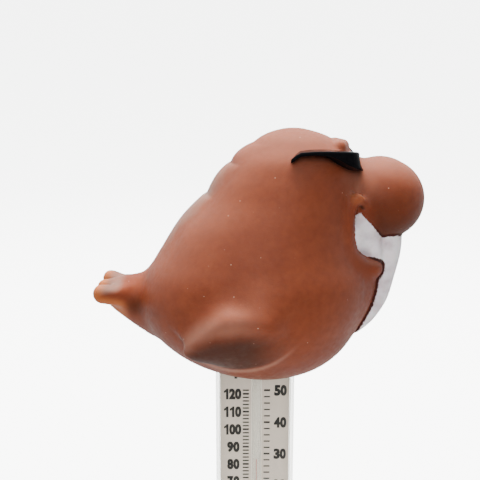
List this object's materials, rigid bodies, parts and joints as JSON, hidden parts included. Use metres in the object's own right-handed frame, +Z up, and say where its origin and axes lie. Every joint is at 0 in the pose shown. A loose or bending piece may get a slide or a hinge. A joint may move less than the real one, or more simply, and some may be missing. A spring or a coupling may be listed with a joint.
{
  "type": "floating pool thermometer",
  "caption": "Floating pool thermometer: hollow vinyl walrus float with sunglasses, pushed onto a flat clear stem that holds a dual scale card and a glass capillary.",
  "frame": {"origin": "centre of the tether eye at the foot of the stem", "axes": "+Z up along the stem towards the walrus, +X the way the walrus faces, +Y along the tether eye's hole; the picture looks along +Y"},
  "size_m": [0.1017, 0.0746, 0.1848],
  "materials": {
    "clear_plastic": "clear polished plastic",
    "white_plastic": "smooth moulded",
    "silicone": "matt",
    "card_plastic": "matt, printed",
    "capillary_glass": "polished",
    "red_spirit": "dyed liquid",
    "ballast_steel": "zinc plated",
    "cushion_foam": "soft foam",
    "brown_vinyl": "satin soft vinyl with airbrushed and painted details",
    "brown_plastic": "moulded",
    "black_plastic": "high gloss"
  },
  "bodies": {
    "stem": {"case_tube": "clear_plastic", "case_cap": "white_plastic", "cap_gasket": "silicone", "scale_card": "card_plastic", "glass_tube": "capillary_glass", "bulb_liquid": "red_spirit", "column_thread": "red_spirit", "lower_tube_clip": "white_plastic", "upper_tube_clip": "white_plastic", "ballast_weight": "ballast_steel", "bulb_cushion": "cushion_foam"},
    "liquid": {"column_top": "red_spirit"},
    "figure": {"figure_shell": "brown_vinyl", "socket_cup": "brown_plastic", "sunglasses": "black_plastic"}
  },
  "joints": [
    {"name": "figure_lift_off", "type": "slide", "parent": "stem", "child": "figure", "axis": [0, 0, 1], "range_m": [0, 0.018]},
    {"name": "liquid_level", "type": "slide", "parent": "stem", "child": "liquid", "axis": [0, 0, 1], "range_m": [-0.03335, 0.02415], "deforming": ["column_thread"]}
  ]
}
